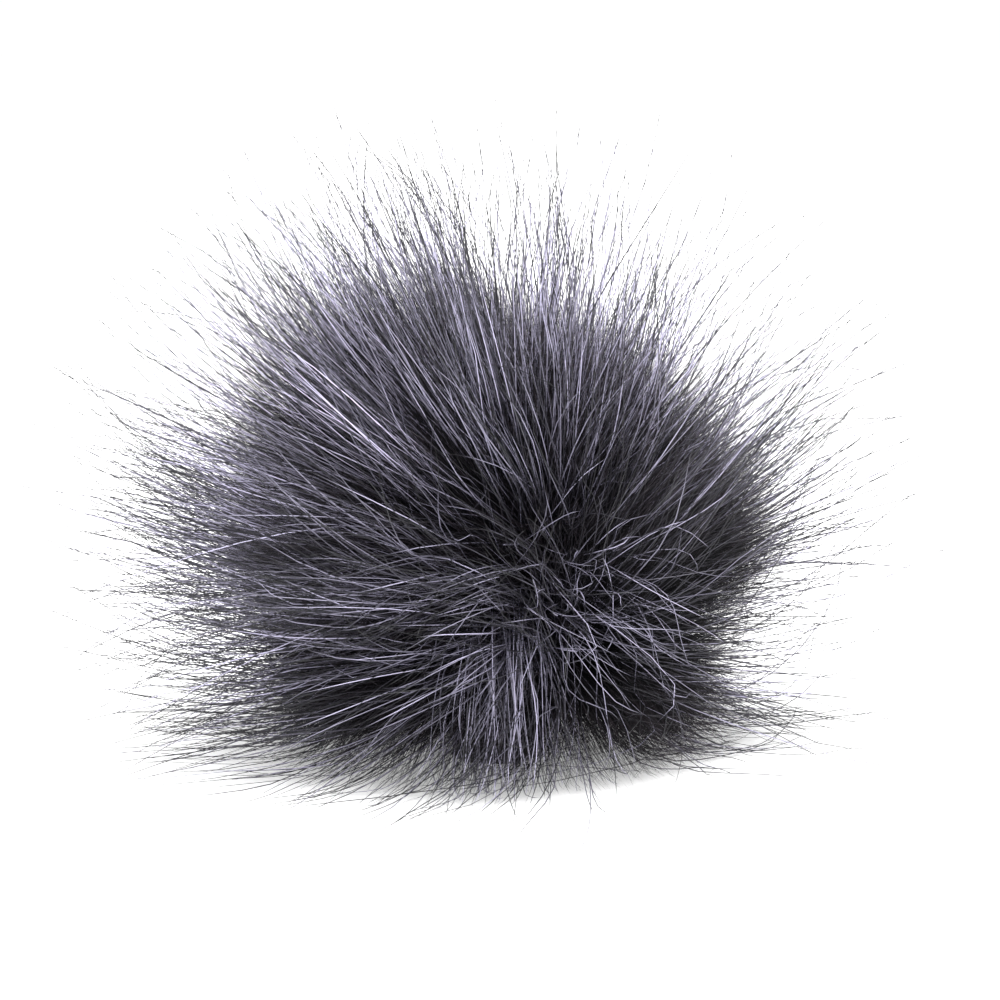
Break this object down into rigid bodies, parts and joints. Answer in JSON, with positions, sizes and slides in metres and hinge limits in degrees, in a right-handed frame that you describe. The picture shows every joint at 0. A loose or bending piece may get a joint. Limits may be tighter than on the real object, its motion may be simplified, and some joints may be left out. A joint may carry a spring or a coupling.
{
  "type": "lavalier microphone",
  "caption": "Lavalier microphone head with a slotted cap and a socket for its lead, inside a foam windscreen and a long-haired fur windscreen that pull off.",
  "frame": {"origin": "on the ground, under the middle of the microphone; its tail face and the pile's underside are at z = 0", "axes": "+Z along the microphone's axis, the way it points; the fur panels' seam lies in the plane x = 0, with its open parting on the -Y side"},
  "size_m": [0.066, 0.066, 0.054],
  "materials": {
    "body_paint": "satin black",
    "cap_paint": "satin black",
    "socket_plating": "satin plated",
    "contact_plating": "polished plated",
    "insulator_plastic": "matte",
    "board_laminate": "matte",
    "chip_ceramic": "matte",
    "wire_tin": "tinned",
    "capsule_aluminium": "satin",
    "diaphragm_film": "metallised film",
    "spacer_plastic": "matte",
    "plate_brass": "satin",
    "holder_plastic": "matte",
    "fet_plastic": "matte",
    "sleeve_rubber": "matte",
    "felt": "felted",
    "mesh_steel": "fine woven mesh",
    "foam": "open-cell foam",
    "knit_backing": "fine knit",
    "binding_tape": "woven tape",
    "sewing_thread": "twisted thread",
    "elastic": "braided elastic",
    "fur_pile": "long pile, near-black at the root and silver-grey along the guard hairs"
  },
  "bodies": {
    "microphone": {"housing": "body_paint", "tail_insert": "socket_plating", "contact_insulator": "insulator_plastic", "centre_contact": "contact_plating", "filter_board": "board_laminate", "chip_capacitors": "chip_ceramic", "signal_wire": "wire_tin", "ground_wire": "wire_tin", "capsule_can": "capsule_aluminium", "diaphragm_ring": "plate_brass", "diaphragm": "diaphragm_film", "spacer_washer": "spacer_plastic", "backplate": "plate_brass", "backplate_holder": "holder_plastic", "gate_ring": "plate_brass", "capsule_board": "board_laminate", "fet_chip": "fet_plastic", "capsule_sleeve": "sleeve_rubber", "dust_felt": "felt", "acoustic_mesh": "mesh_steel"},
    "cap": {"grille_cap": "cap_paint", "grille_mesh": "mesh_steel"},
    "foam": {"foam_windscreen": "foam"},
    "fur": {"backing_left": "knit_backing", "backing_right": "knit_backing", "seam_thread": "sewing_thread", "mouth_binding": "binding_tape", "elastic_cord": "elastic", "pile_left": "fur_pile", "pile_right": "fur_pile"}
  },
  "joints": [
    {"name": "cap_slide", "type": "slide", "parent": "microphone", "child": "cap", "axis": [0, 0, 1], "range_m": [0, 0.006]},
    {"name": "foam_slide", "type": "slide", "parent": "cap", "child": "foam", "axis": [0, 0, 1], "range_m": [0, 0.018]},
    {"name": "fur_slide", "type": "slide", "parent": "foam", "child": "fur", "axis": [0, 0, 1], "range_m": [0, 0.03]}
  ]
}
